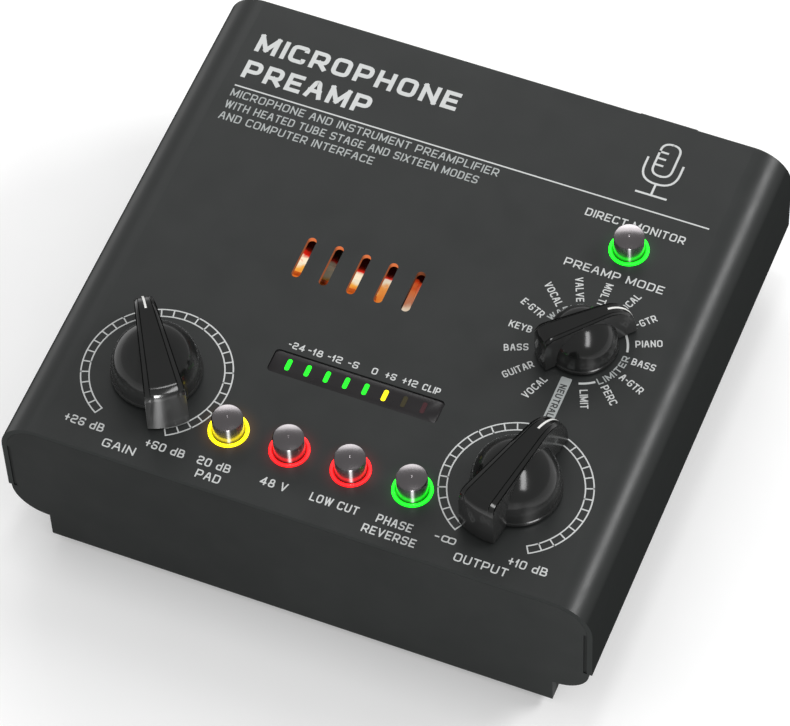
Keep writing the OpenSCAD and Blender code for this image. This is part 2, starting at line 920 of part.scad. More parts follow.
module power_inlet() {
  pin_r = 1.04;
  color("#1b1c1e") difference() {
    union() {
      box([inlet_x - 4.9, rear_y - panel_t - 12, power_z - 5.5],
          [inlet_x + 4.9, rear_y - panel_t, power_z + 5.5]);
      bar_y(inlet_x, power_z, 4.5, rear_y - panel_t - fit, rear_y + 0.4);
    }
    bar_y(inlet_x, power_z, 3.2, rear_y - panel_t - 9, rear_y + cut);
  }
  color("silver") {
    bar_y(inlet_x, power_z, pin_r, rear_y - panel_t - 10, rear_y - 1);
    translate([inlet_x, rear_y - 1, power_z]) sphere(pin_r);
  }
}

module power_switch() {
  color("#1b1c1e") difference() {
    box([power_x - 4.2, rear_y - panel_t - 14, power_z - 4.5],
        [power_x + 4.2, rear_y - panel_t, power_z + 4.5]);
    bar_y(power_x, power_z, 2.05, rear_y - panel_t - 9, rear_y);
  }
}

module power_button() {
  color("#2a2b2c") {
    bar_y(power_x, power_z, 4.0, rear_y + 0.6, rear_y + 3.0);
    bar_y(power_x, power_z, 2.0, rear_y - panel_t - 6.5, rear_y + 1);
  }
}

top_cover();
bottom_tray();
front_panel();
rear_panel();
case_screws();
rubber_feet();
gain_knob();
gain_pointer();
gain_shaft();
output_knob();
output_pointer();
output_shaft();
mode_knob();
mode_pointer();
mode_shaft();
gain_pot();
output_pot();
mode_encoder();
shaft_washers();
shaft_nuts();
pad_button();
phantom_button();
low_cut_button();
phase_button();
monitor_button();
pad_light_ring();
phantom_light_ring();
low_cut_light_ring();
phase_light_ring();
monitor_light_ring();
push_switches();
meter_window();
green_meter_leds();
yellow_meter_leds();
red_meter_led();
control_board();
board_spacers();
board_header();
main_board();
board_screws();
capacitors();
amplifier_chips();
glow_leds();
tube_glass();
tube_plates();
tube_pins();
tube_socket();
socket_board();
combo_jack();
combo_contacts();
combo_latch();
xlr_output();
xlr_pins();
jack_output();
jack_nut();
connector_screws();
usb_port();
power_inlet();
power_switch();
power_button();
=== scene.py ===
import json
import math

import bmesh
import bpy
from mathutils import Matrix, Vector


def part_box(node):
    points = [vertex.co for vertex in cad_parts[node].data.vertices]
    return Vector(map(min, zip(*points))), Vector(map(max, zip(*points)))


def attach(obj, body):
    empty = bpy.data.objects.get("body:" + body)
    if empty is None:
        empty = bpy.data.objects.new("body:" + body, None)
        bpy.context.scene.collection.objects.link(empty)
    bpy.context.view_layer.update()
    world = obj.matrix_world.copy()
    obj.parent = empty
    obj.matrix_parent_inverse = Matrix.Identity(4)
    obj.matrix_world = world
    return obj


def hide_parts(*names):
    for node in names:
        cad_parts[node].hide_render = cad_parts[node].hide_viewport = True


# The looks of a desktop microphone preamp. Lengths are in millimetres in the object's own
# frame: X to the right, Y from the front panel to the connectors, Z up. MM turns them into metres.

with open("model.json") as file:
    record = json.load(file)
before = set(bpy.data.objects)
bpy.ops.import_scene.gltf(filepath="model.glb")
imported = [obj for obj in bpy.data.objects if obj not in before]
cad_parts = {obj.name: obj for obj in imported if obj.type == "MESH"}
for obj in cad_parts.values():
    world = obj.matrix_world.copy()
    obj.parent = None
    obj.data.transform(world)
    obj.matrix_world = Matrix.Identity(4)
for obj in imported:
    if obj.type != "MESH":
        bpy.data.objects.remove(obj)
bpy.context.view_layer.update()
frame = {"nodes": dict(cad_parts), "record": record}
NODES = frame["nodes"]
MM = 0.001


def box_mm(node):
    low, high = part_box(node)
    return low / MM, high / MM


def middle(node):
    low, high = box_mm(node)
    return (low + high) / 2


# The cover: its front edge, top face, half width and lower edge, its sheet and its rounded shoulders.
COVER_LOW, COVER_HIGH = box_mm("top_cover")
FRONT = COVER_LOW.y
TOP = COVER_HIGH.z
HALF = COVER_HIGH.x
SEAM = TOP - 24.4
WALL = 1.2
SHOULDER = 9.0


# ---- Geometry helpers ----

def soften(points, closed=False, steps=4):
    """Rounds each corner that gives a radius as its third number."""
    out = []
    count = len(points)
    for i, point in enumerate(points):
        here = Vector(point[:2])
        radius = point[2] if len(point) > 2 else 0
        if not radius or not (closed or 0 < i < count - 1):
            out.append(here)
            continue
        before = Vector(points[i - 1][:2]) - here
        after = Vector(points[(i + 1) % count][:2]) - here
        room_before = before.length * (0.95 if not closed and i == 1 else 0.5)
        room_after = after.length * (0.95 if not closed and i == count - 2 else 0.5)
        reach = min(radius, room_before, room_after)
        start = here + before.normalized() * reach
        end = here + after.normalized() * reach
        for k in range(steps + 1):
            t = k / steps
            out.append(start * (1 - t) ** 2 + here * 2 * t * (1 - t) + end * t * t)
    return out


def arc(centre, radius, start, end, step=4):
    """Points on a circle, from one clockwise angle from straight back to another."""
    count = max(2, int(abs(end - start) / step) + 1)
    angles = [math.radians(start + (end - start) * i / (count - 1)) for i in range(count)]
    return [Vector((centre[0] + radius * math.sin(a), centre[1] + radius * math.cos(a))) for a in angles]


def revolve(profile, segments=96, closed=False):
    """Turns (radius, height) points round the Z axis. A radius of 0 closes an end."""
    points = []
    rings = []
    for radius, height in profile:
        if radius < 1e-6:
            rings.append([len(points)] * segments)
            points.append((0, 0, height))
            continue
        rings.append(list(range(len(points), len(points) + segments)))
        for i in range(segments):
            a = 2 * math.pi * i / segments
            points.append((radius * math.cos(a), radius * math.sin(a), height))
    faces = []
    pairs = list(zip(rings, rings[1:]))
    if closed:
        pairs.append((rings[-1], rings[0]))
    for low, high in pairs:
        for i in range(segments):
            j = (i + 1) % segments
            face = [low[i], low[j], high[j], high[i]]
            face = [v for k, v in enumerate(face) if v not in face[:k]]
            if len(face) > 2:
                faces.append(face)
    return points, faces


def prism(outline, low, high):
    """A flat outline in X and Y raised from one height to another."""
    count = len(outline)
    points = [(p[0], p[1], low) for p in outline] + [(p[0], p[1], high) for p in outline]
    faces = [list(range(count))[::-1], list(range(count, 2 * count))]
    for i in range(count):
        j = (i + 1) % count
        faces.append([i, j, count + j, count + i])
    return points, faces


def block(low, high, radius=0.0):
    """A box with rounded upright edges."""
    corners = [(low[0], low[1]), (high[0], low[1]), (high[0], high[1]), (low[0], high[1])]
    return prism(soften([(*corner, radius) for corner in corners], closed=True), low[2], high[2])


def merge(*parts):
    points = []
    faces = []
    for part_points, part_faces in parts:
        start = len(points)
        points += part_points
        faces += [[start + v for v in face] for face in part_faces]
    return points, faces


def make(name, part, materials, sharp=30):
    """A mesh object from points in millimetres, shaded smooth up to the sharp angle."""
    points, faces = part
    mesh = bpy.data.meshes.new(name)
    mesh.from_pydata([Vector(p) * MM for p in points], [], faces)
    work = bmesh.new()
    work.from_mesh(mesh)
    bmesh.ops.remove_doubles(work, verts=work.verts, dist=1e-7)
    bmesh.ops.recalc_face_normals(work, faces=work.faces)
    work.to_mesh(mesh)
    work.free()
    for material in materials if isinstance(materials, list) else [materials]:
        mesh.materials.append(material)
    obj = bpy.data.objects.new(name, mesh)
    bpy.context.scene.collection.objects.link(obj)
    shade(obj, sharp)
    return obj


def shade(obj, sharp=30):
    work = bmesh.new()
    work.from_mesh(obj.data)
    for face in work.faces:
        face.smooth = True
    for edge in work.edges:
        if len(edge.link_faces) == 2:
            edge.smooth = edge.calc_face_angle(0) < math.radians(sharp)
    work.to_mesh(obj.data)
    work.free()


def apply_modifiers(obj):
    graph = bpy.context.evaluated_depsgraph_get()
    mesh = bpy.data.meshes.new_from_object(obj.evaluated_get(graph))
    obj.modifiers.clear()
    obj.data = mesh


def carve(obj, part, operation="DIFFERENCE"):
    """Cuts a shape out of a piece, or joins it on."""
    tool = make(obj.name + "_tool", part, [])
    change = obj.modifiers.new("shape", "BOOLEAN")
    change.object = tool
    change.operation = operation
    change.solver = "EXACT"
    bpy.context.view_layer.update()
    apply_modifiers(obj)
    bpy.data.objects.remove(tool)
    return obj


def soft_edges(obj, width):
    bevel = obj.modifiers.new("edges", "BEVEL")
    bevel.width = width * MM
    bevel.segments = 2
    bevel.limit_method = "ANGLE"
    bevel.angle_limit = math.radians(40)
    bevel.harden_normals = False
    bpy.context.view_layer.update()
    apply_modifiers(obj)
    return obj


def settle(obj, body, slot, *nodes):
    """Hands a finished piece to its body, in place of CAD nodes, which it hides. The slot it is given is not
    used.
    """
    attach(obj, body)
    if nodes:
        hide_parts(*nodes)
    return obj


# ---- Materials ----

# Every material under its name. Those of the record's slots have the slots' names.
SLOTS = {}


def new_material(name):
    material = bpy.data.materials.new(name)
    material.use_nodes = True
    SLOTS[name] = material
    tree = material.node_tree
    return material, tree, tree.nodes["Principled BSDF"]


def plug(tree, node, inputs):
    """Gives a node its inputs, as values or as the outputs of other nodes."""
    for key, value in inputs.items():
        if isinstance(value, bpy.types.NodeSocket):
            tree.links.new(value, node.inputs[key])
        else:
            node.inputs[key].default_value = value


def add(tree, kind, inputs, output=0, **settings):
    """A new shader node. What comes back is its output."""
    node = tree.nodes.new("ShaderNode" + kind)
    for key, value in settings.items():
        setattr(node, key, value)
    plug(tree, node, inputs)
    return node.outputs[output]


def calculate(tree, operation, *values):
    return add(tree, "Math", dict(enumerate(values)), operation=operation)


def on_object(tree):
    return add(tree, "TexCoord", {}, "Object")


def axis_of(tree, vector, axis):
    return add(tree, "SeparateXYZ", {"Vector": vector}, axis)


def facing(tree, axis):
    """How far a face looks along an axis, from -1 to 1."""
    return axis_of(tree, add(tree, "NewGeometry", {}, "Normal"), axis)


def noise(tree, scale, detail):
    return add(tree, "TexNoise", {"Vector": on_object(tree), "Scale": scale, "Detail": detail})


def ramp(tree, source, stops):
    node = tree.nodes.new("ShaderNodeValToRGB")
    while len(node.color_ramp.elements) < len(stops):
        node.color_ramp.elements.new(0.5)
    for element, (place, colour) in zip(node.color_ramp.elements, stops):
        element.position = place
        element.color = (*colour, 1)
    plug(tree, node, {"Fac": source})
    return node.outputs["Color"]


def stretch(tree, source, start, end, low=0.0, high=1.0, **settings):
    """Carries a value over from one range to another."""
    ranges = {"Value": source, "From Min": start, "From Max": end, "To Min": low, "To Max": high}
    return add(tree, "MapRange", ranges, **settings)


def cloudy(tree, scale, detail, low, high):
    """A value that wanders between two limits. Most of the noise lies between 0.3 and 0.7."""
    return stretch(tree, noise(tree, scale, detail), 0.3, 0.7, low, high)


def mix_shaders(tree, share, first, second):
    return add(tree, "MixShader", {"Fac": share, 1: first, 2: second})


def finish_with(material, shader):
    tree = material.node_tree
    plug(tree, tree.nodes["Material Output"], {"Surface": shader})
    return material


def surface(name, colour, rough, metal=0.0, vary=0.12, grain=1500, bump=0.05, specular=0.5, smudge=0.04):
    """A solid finish: cloudy colour, uneven gloss and a fine grain."""
    material, tree, shader = new_material(name)
    dark = [c * (1 - vary) for c in colour]
    light = [min(1, c * (1 + vary)) for c in colour]
    relief = {"Strength": bump, "Distance": 0.02 * MM, "Height": noise(tree, grain, 2)}
    plug(tree, shader, {
        "Base Color": ramp(tree, noise(tree, 55, 4), [(0.3, dark), (0.7, light)]),
        "Roughness": cloudy(tree, 130, 5, rough - smudge, rough + smudge),
        "Normal": add(tree, "Bump", relief),
        "Metallic": metal,
        "Specular IOR Level": specular,
    })
    return material


def lit_ring(name, colour):
    """A lit translucent ring: bright on its crown, with painted shade that dims it towards the cap."""
    material, tree, shader = new_material(name)
    crown = 3.8
    strength = 3.0
    flat = add(tree, "VectorMath", {0: on_object(tree), 1: (1 / MM, 1 / MM, 0)}, operation="MULTIPLY")
    reach = add(tree, "VectorMath", {0: flat}, "Value", operation="LENGTH")
    plug(tree, shader, {
        "Base Color": (*[c * 0.6 for c in colour], 1),
        "Roughness": 0.3,
        "Emission Color": ramp(tree, noise(tree, 900, 2), [(0.2, [c * 0.97 for c in colour]), (0.9, colour)]),
        # Painted shade: inside the crown the emission drops to 12 per cent of its strength.
        "Emission Strength": stretch(tree, reach, crown - 0.2, crown, strength * 0.12, strength,
                                     interpolation_type="SMOOTHSTEP"),
    })
    return material


def lamp(name, colour, strength):
    """A lit lamp with a slightly uneven glow."""
    material, tree, shader = new_material(name)
    plug(tree, shader, {
        "Base Color": (*[c * 0.7 for c in colour], 1),
        "Roughness": 0.25,
        "Emission Color": (*colour, 1),
        "Emission Strength": cloudy(tree, 1200, 2, strength * 0.85, strength * 1.15),
    })
    return material


def upright_share(tree, flat=0.45, upright=0.15):
    """0 on faces that look up or down, 1 on upright faces."""
    return stretch(tree, calculate(tree, "ABSOLUTE", facing(tree, "Z")), flat, upright)


def moulded_sides(material, share, colour, rough):
    """Upright sides carry fine mould lines, so that highlights run up and down them."""
    tree = material.node_tree
    lines = add(tree, "BsdfAnisotropic", {
        "Color": (*colour, 1), "Roughness": rough, "Anisotropy": 0.7,
        "Tangent": add(tree, "Tangent", {}, direction_type="RADIAL", axis="Z"),
    })
    amount = calculate(tree, "MULTIPLY", upright_share(tree), share)
    gloss = tree.nodes["Principled BSDF"].outputs["BSDF"]
    return finish_with(material, mix_shaders(tree, amount, gloss, lines))


def knob_finish():
    """Polished black plastic."""
    black = (0.0055, 0.0058, 0.0056)
    finish = surface("knob_plastic", black, 0.15, vary=0.2, grain=900, bump=0.01, specular=0.33)
    return moulded_sides(finish, 0.04, (1, 1, 1), 0.34)


def chrome_cap():
    """Dark chrome."""
    chrome = (0.135, 0.126, 0.13)
    finish = surface("cap_chrome", chrome, 0.16, metal=1.0, vary=0.06, grain=3000, bump=0.02, smudge=0.02)
    return moulded_sides(finish, 0.26, (0.9, 0.9, 0.9), 0.26)


def painted_light_pool(tree, where, centre, colour, near, far, power):
    """Painted light of one colour, emitted by the surface, that fades with the distance from a point."""
    away = add(tree, "VectorMath", {0: where, 1: Vector(centre) * MM}, "Value", operation="DISTANCE")
    fade = calculate(tree, "POWER", stretch(tree, away, far * MM, near * MM), power)
    return add(tree, "VectorMath", {0: colour, "Scale": fade}, operation="SCALE")


def cover_paint():
    """Fine charcoal paint, matt on the sides. Painted light: the side faces are painted a darker shade, the
    front and rear edge faces a lighter tone, and the glow of the rings and of the tube is painted on as
    emission.
    """
    finish = surface("case_paint", (0.0235, 0.0255, 0.025), 0.33, vary=0.05, grain=2600, specular=0.27)
    tree = finish.node_tree
    # Painted shade and light: matt upright faces that look sideways are painted darker, the front and rear
    # edge faces lighter.
    side_painted_shade = (0.020, 0.0214, 0.021)
    rim_painted_light = (0.050, 0.0535, 0.0525)
    ahead = facing(tree, "Y")
    facing_painted_tones = ramp(tree, calculate(tree, "ABSOLUTE", ahead), [(0.3, side_painted_shade), (0.8, rim_painted_light)])
    matt = add(tree, "BsdfDiffuse", {"Color": facing_painted_tones})
    gloss = tree.nodes["Principled BSDF"].outputs["BSDF"]
    paint = mix_shaders(tree, upright_share(tree, 0.78, 0.5), gloss, matt)
    where = on_object(tree)
    # Painted glow of the tube: orange emission round the vents, on upright faces only and strongest on those
    # that face forward.
    tube = middle("tube_plates")
    slots = painted_light_pool(tree, where, (tube.x, tube.y, TOP), (0.36, 0.085, 0.025), 15, 22, 1)
    far_end = stretch(tree, ahead, -0.9, -0.2, 2.0, 0.8)
    walls = calculate(tree, "MULTIPLY", far_end, upright_share(tree))
    painted_light_sum = add(tree, "VectorMath", {0: slots, "Scale": walls}, operation="SCALE")
    # Painted glow of the rings: coloured emission on the paint round each button.
    for name, colour in BUTTONS.items():
        spot = middle(name + "_button")
        glow = painted_light_pool(tree, where, (spot.x, spot.y, TOP), PAINTED_RING_GLOW[colour], 4.4, 8.5, 3)
        painted_light_sum = add(tree, "VectorMath", {0: painted_light_sum, 1: glow}, operation="ADD")
    lit = add(tree, "Emission", {"Color": painted_light_sum})
    return finish_with(finish, add(tree, "AddShader", {0: paint, 1: lit}))


def clear_glass():
    """Thin glass: clear where it is looked at squarely, glossy along its edges."""
    material, tree, shader = new_material("tube_glass")
    plug(tree, shader, {"Base Color": (0.02, 0.02, 0.02, 1), "Roughness": cloudy(tree, 200, 2, 0.03, 0.07)})
    clear = add(tree, "BsdfTransparent", {"Color": (1.0, 0.96, 0.92, 1)})
    edge = add(tree, "Fresnel", {"IOR": 1.5})
    return finish_with(material, mix_shaders(tree, edge, clear, shader.outputs["BSDF"]))


# Colours of the glow painted across the tube, as (place, colour) from its front to its back.
GLOW_FADE_END = [(0.57, (0.8, 0.02, 0.01)), (0.63, (0.1, 0.003, 0.0)), (0.68, (0.008, 0.0, 0.0))]
PLATE_BANDS = [(0.16, (0.35, 0.04, 0.008)), (0.27, (0.85, 0.2, 0.02)), (0.36, (1.0, 0.5, 0.08)),
               (0.43, (1.0, 0.95, 0.75)), (0.53, (1.0, 0.9, 0.7))] + GLOW_FADE_END
COLLAR_BANDS = [(0.33, (0.85, 0.2, 0.02)), (0.45, (1.0, 0.42, 0.1)), (0.5, (1.0, 0.95, 0.75)),
                (0.54, (1.0, 0.9, 0.8))] + GLOW_FADE_END
FILM_BANDS = [(0.28, (1.0, 0.95, 0.9)), (0.34, (0.9, 0.75, 0.6)), (0.4, (0.6, 0.25, 0.15)),
              (0.55, (0.75, 0.2, 0.06)), (0.62, (0.6, 0.05, 0.01)), (0.67, (0.01, 0.0, 0.0))]


def glow_painted_metal(name, bands, shift):
    """Grey metal with the tube's glow painted on as emission, in bands across the tube that are shifted back
    by a distance.
    """
    material, tree, shader = new_material(name)
    waver = 0.006
    half_band = 9.0
    centre = middle("tube_plates").y + shift
    place = calculate(tree, "MULTIPLY_ADD", noise(tree, 230, 3), waver, axis_of(tree, on_object(tree), "Y"))
    across = stretch(tree, place, (centre - half_band) * MM, (centre + half_band) * MM)
    low, high = box_mm("tube_plates")
    along = stretch(tree, axis_of(tree, on_object(tree), "X"), low.x * MM, high.x * MM)
    # How strong the painted glow is along the tube, from its left end to its right.
    painted_glow_levels = [(0.0, 1), (0.31, 1), (0.35, 0.1), (0.46, 0.14), (0.5, 1), (0.8, 0.9), (0.9, 0.8)]
    plug(tree, shader, {
        "Base Color": (0.10, 0.10, 0.11, 1),
        "Metallic": 0.8,
        "Roughness": 0.35,
        "Emission Color": ramp(tree, across, bands),
        "Emission Strength": ramp(tree, along, [(spot, [level] * 3) for spot, level in painted_glow_levels]),
    })
    return material


LIT = {"yellow": (1.0, 0.80, 0.002), "red": (1.0, 0.006, 0.008), "green": (0.006, 1.0, 0.012)}
# Colours of the glow painted on the cover round each ring.
PAINTED_RING_GLOW = {"yellow": (0.052, 0.018, 0.0), "red": (0.05, 0.001, 0.001), "green": (0.0, 0.022, 0.004)}
BUTTONS = {"pad": "yellow", "phantom": "red", "low_cut": "red", "phase": "green", "monitor": "green"}

cover_paint()
surface("panel_paint", (0.0165, 0.018, 0.0175), 0.5, vary=0.06, grain=2600, specular=0.06)
surface("tray_plastic", (0.006, 0.0063, 0.0063), 0.5, vary=0.08, grain=1800, bump=0.12, specular=0.04)
knob_finish()
surface("pointer_white", (0.72, 0.72, 0.70), 0.35, vary=0.04)
surface("steel", (0.62, 0.62, 0.63), 0.25, metal=1.0, grain=2200)
surface("black_steel", (0.03, 0.03, 0.03), 0.35, metal=0.6)
surface("pot_body", (0.12, 0.12, 0.12), 0.5)
chrome_cap()
lamp("light_yellow", LIT["yellow"], 1.4)
lamp("light_red", LIT["red"], 1.6)
lamp("light_green", LIT["green"], 1.2)
surface("led_red_off", (0.045, 0.006, 0.010), 0.35, specular=0.3)
surface("smoked_window", (0.012, 0.0105, 0.0115), 0.3, vary=0.1, grain=800, bump=0.01, specular=0.25)
surface("board_green", (0.01, 0.09, 0.03), 0.4, vary=0.25, grain=700, bump=0.2)
surface("white_plastic", (0.8, 0.8, 0.76), 0.45)
surface("black_plastic", (0.014, 0.014, 0.015), 0.38, vary=0.15, grain=1600, bump=0.12)
surface("can_sleeve", (0.02, 0.03, 0.1), 0.3)
lamp("glow_amber", (1.0, 0.25, 0.03), 2.5)
clear_glass()
glow_painted_metal("tube_metal", PLATE_BANDS, 3.0)
surface("pin_metal", (0.6, 0.6, 0.6), 0.3, metal=1.0)
surface("ceramic", (0.8, 0.78, 0.7), 0.25)
surface("gold", (0.83, 0.6, 0.22), 0.25, metal=1.0)
surface("rubber", (0.018, 0.018, 0.018), 0.75, grain=900, bump=0.3)
INK = surface("ink_white", (0.60, 0.615, 0.61), 0.5, vary=0.05, grain=2500)
INK_GREY = surface("ink_grey", (0.40, 0.425, 0.42), 0.5, vary=0.06, grain=2500)
INK_DARK = surface("ink_dark", (0.03, 0.032, 0.032), 0.5, vary=0.05, grain=2500)


def dress_nodes():
    for part in frame["record"]["subparts"]:
        obj = NODES[part["node"]]
        finish = SLOTS[part["material_slot"]]
        if not obj.material_slots:
            obj.data.materials.append(finish)
        for place in obj.material_slots:
            place.material = finish


# ---- Dials ----

# Share of a dial's nose where its flat top ends and the fall to the panel starts.
NOSE_START = 0.42


def knob_bar(h, tail, nose, tail_half, nose_half, foot, gap):
    """The grip bar: a curved tail, a flat top between grooved bevels and a nose that falls to the panel."""
    across = 8
    bend = 2.5
    flat_end = nose * NOSE_START
    stations = []
    for i in range(7):
        a = math.radians(90 * i / 6)
        stations.append((-tail + bend * (1 - math.cos(a)), h - bend * (1 - math.sin(a))))
    stations += [(-tail + bend + (flat_end + tail - bend) * i / 10, h) for i in range(1, 11)]
    for i in range(1, 17):
        a = math.radians(90 * i / 16)
        stations.append((flat_end + (nose - flat_end) * math.sin(a), foot + (h - foot) * math.cos(a)))
    points = []
    for s, z in stations:
        t = (s + tail) / (tail + nose)
        half = tail_half + (nose_half - tail_half) * t
        scale = min(1.0, (z - gap) / 3)
        edge = half - 0.1
        inner = edge - (0.29 - 0.12 * t) * tail_half
        drop = 0.5 * scale
        dip = 0.2 * scale
        rows = [(edge, z - drop), (edge - 0.12, z - drop - dip), (edge - 0.24, z - drop * 0.9),
                (inner + 0.12, z - drop * 0.1), (inner, z - dip), (inner - 0.12, z)]
        bulge = max(0.0, 1 - (s + tail) / (0.55 * tail))

        def place(x, height):
            curve = tail - math.sqrt(tail * tail - x * x)
            return (x, s + curve * bulge, height)

        points += [place(half * (1 - 2 * i / across), gap) for i in range(across + 1)]
        points += [place(-x, height) for x, height in rows[:-1]]
        points += [place(-rows[-1][0] * (1 - 2 * i / across), z) for i in range(across + 1)]
        points += [place(x, height) for x, height in rows[-2::-1]]
    side = 5
    ring = 2 * (across + 1) + 2 * side
    faces = []
    for k in range(len(stations) - 1):
        for i in range(ring):
            j = (i + 1) % ring
            faces.append([k * ring + i, k * ring + j, (k + 1) * ring + j, (k + 1) * ring + i])
    for k in (0, len(stations) - 1):
        base = k * ring
        top = base + across + 1 + side
        for i in range(across):
            faces.append([base + i, base + i + 1, top + across - i - 1, top + across - i])
        faces.append([base + across + i for i in range(side + 2)])
        faces.append([base] + [top + across + i for i in range(side + 1)])
    return points, faces


def knob_dome(r, rise, foot, gap):
    """The round middle: a skirt with a small step, and a dome on it."""
    base = rise - r + 0.15
    dome = r - 0.25
    profile = [(0, gap), (r - 0.15, gap), (r, gap + 0.15), (r, foot), (dome, foot + 0.12), (dome, base)]
    steps = 24
    for i in range(steps + 1):
        a = math.radians(90 * i / steps)
        profile.append((dome * math.cos(a), base + (rise - base) * math.sin(a)))
    return revolve(profile)


def pointer_strip(h, nose, foot):
    """The white line let into the nose of the bar."""
    sides = (-0.24, 0.24)
    proud = 0.04
    depth = 0.35
    flat_end = nose * NOSE_START
    reach = nose - flat_end
    rise = h - foot
    points = []
    steps = 18
    for i in range(steps + 1):
        a = math.radians(83 - 75 * i / steps)
        normal = Vector((math.cos(a) / reach, math.sin(a) / rise)).normalized()
        crest = Vector((flat_end + reach * math.cos(a), foot + rise * math.sin(a)))
        high = crest + normal * proud
        low = crest - normal * depth
        points += [(x, *high) for x in sides] + [(x, *low) for x in sides[::-1]]
    faces = [[0, 1, 2, 3], [4 * steps + i for i in (3, 2, 1, 0)]]
    for k in range(steps):
        for i in range(4):
            j = (i + 1) % 4
            faces.append([4 * k + i, 4 * k + j, 4 * k + 4 + j, 4 * k + 4 + i])
    return points, faces


def dial(name, pointer_angle, large):
    """A moulded knob with its pointer line, turned clockwise from straight back."""
    shaft = middle(name + "_shaft")
    h = box_mm(name + "_knob")[1].z - TOP
    if large:
        r, tail, nose, tail_half, nose_half, cavity = 9.9, 14.7, 16.2, 4.5, 1.8, 7.0
    else:
        r, tail, nose, tail_half, nose_half, cavity = 7.9, 10.2, 12.2, 2.9, 1.5, 6.0
    gap = 0.4
    foot = 1.2
    turn = Matrix.Rotation(math.radians(-pointer_angle), 3, "Z")
    spot = Vector((shaft.x, shaft.y, TOP))
    body = name + "_dial"
    bar = knob_bar(h, tail, nose, tail_half, nose_half, foot, gap)
    knob = make(name + "_grip", bar, SLOTS["knob_plastic"])
    carve(knob, knob_dome(r, h - 0.35, foot, gap), "UNION")
    bore_r = 3.02
    bore_top = h - 3.4
    bore = [(0, -1), (cavity, -1), (cavity, 3), (bore_r, 3), (bore_r, bore_top), (0, bore_top)]
    carve(knob, revolve(bore, 64))
    stand = Matrix.Translation(spot * MM) @ turn.to_4x4()
    knob.data.transform(stand)
    shade(knob, 32)
    settle(knob, body, "knob_plastic", name + "_knob")
    strip = make(name + "_line", pointer_strip(h, nose, foot), SLOTS["pointer_white"], 50)
    strip.data.transform(stand)
    settle(strip, body, "pointer_white", name + "_pointer")


# ---- Buttons, rings and meter ----

def button(name, colour):
    """A chrome cap that stands in its light ring."""
    spot = middle(name + "_button")
    low, high = box_mm(name + "_button")
    rim = (high.x - low.x) / 2
    top = high.z
    foot = TOP - 2.2
    crown = rim - 0.2
    profile = soften([
        (0, low.z), (1.6, low.z), (1.6, foot, 0.1), (rim, foot, 0.1), (rim, top - 0.45, 0.06),
        (crown, top - 0.3, 0.06)], steps=3)
    profile += [Vector((crown * (1 - i / 8), top - 0.3 + 0.22 * (1 - (1 - i / 8) ** 2))) for i in range(1, 8)]
    profile += [Vector((0.26, top - 0.09)), Vector((0.2, top - 0.02)), Vector((0.1, top)), Vector((0, top))]
    cap = make(name + "_cap", revolve(profile), SLOTS["cap_chrome"], 28)
    cap.location = Vector((spot.x, spot.y, 0)) * MM
    settle(cap, name + "_push", "cap_chrome", name + "_button")
    ring_low, ring_high = box_mm(name + "_light_ring")
    flange = (ring_high.x - ring_low.x) / 2
    outer = flange - 0.8
    inner = rim + 0.1
    under = TOP - WALL - 0.06
    profile = soften([
        (inner, ring_low.z), (flange, ring_low.z), (flange, under), (outer, under),
        (outer, TOP + 0.3, 0.22), (3.75, TOP + 0.3, 0.12), (inner, TOP - 0.2, 0.1)], closed=True)
    ring = make(name + "_glow_ring", revolve(profile, closed=True), lit_ring(name + "_ring", LIT[colour]), 50)
    ring.location = Vector((spot.x, spot.y, 0)) * MM
    settle(ring, "chassis", "light_" + colour, name + "_light_ring")


def pill(x, y, w, l, low, high):
    """A slot shape with round ends."""
    outline = soften([
        (x - w / 2, y - l / 2, w / 2), (x + w / 2, y - l / 2, w / 2),
        (x + w / 2, y + l / 2, w / 2), (x - w / 2, y + l / 2, w / 2)], closed=True, steps=6)
    return prism(outline, low, high)


def meter():
    """The smoked window, and the eight lamps that reach up through it."""
    face = box_mm("meter_window")[1].z
    foot = box_mm("green_meter_leds")[0]
    red = middle("red_meter_led")
    y = red.y
    lamp_half = 1.3
    first = foot.x + lamp_half
    pitch = (red.x - first) / 7
    x = (first + red.x) / 2
    half = Vector((19.4, 2.95))
    lens = block((x - half.x, y - half.y, face - 1.0), (x + half.x, y + half.y, face), 1.0)
    window = make("meter_lens", lens, SLOTS["smoked_window"])
    soft_edges(window, 0.08)
    for i in range(8):
        carve(window, pill(first + i * pitch, y, 1.04, 2.94, face - 2, face + 1))
    shade(window, 35)
    settle(window, "chassis", "smoked_window", "meter_window")
    off_yellow = surface("lamp_yellow_off", (0.035, 0.028, 0.006), 0.35, specular=0.3)
    groups = [
        ("green_lamps", range(0, 5), SLOTS["light_green"], "light_green", "green_meter_leds"),
        ("yellow_lamp", [5], SLOTS["light_yellow"], "light_yellow", "yellow_meter_leds"),
        ("yellow_lamp_off", [6], off_yellow, "light_yellow", "yellow_meter_leds"),
        ("red_lamp_off", [7], SLOTS["led_red_off"], "led_red_off", "red_meter_led")]
    for name, places, finish, slot, node in groups:
        parts = []
        for i in places:
            at = first + i * pitch
            parts.append(block((at - lamp_half, y - 2.2, foot.z), (at + lamp_half, y + 2.2, foot.z + 6)))
            parts.append(pill(at, y, 1.0, 2.9, foot.z + 5.9, face + 0.02))
        settle(make(name, merge(*parts), finish), "chassis", slot, node)


# ---- Tube ----

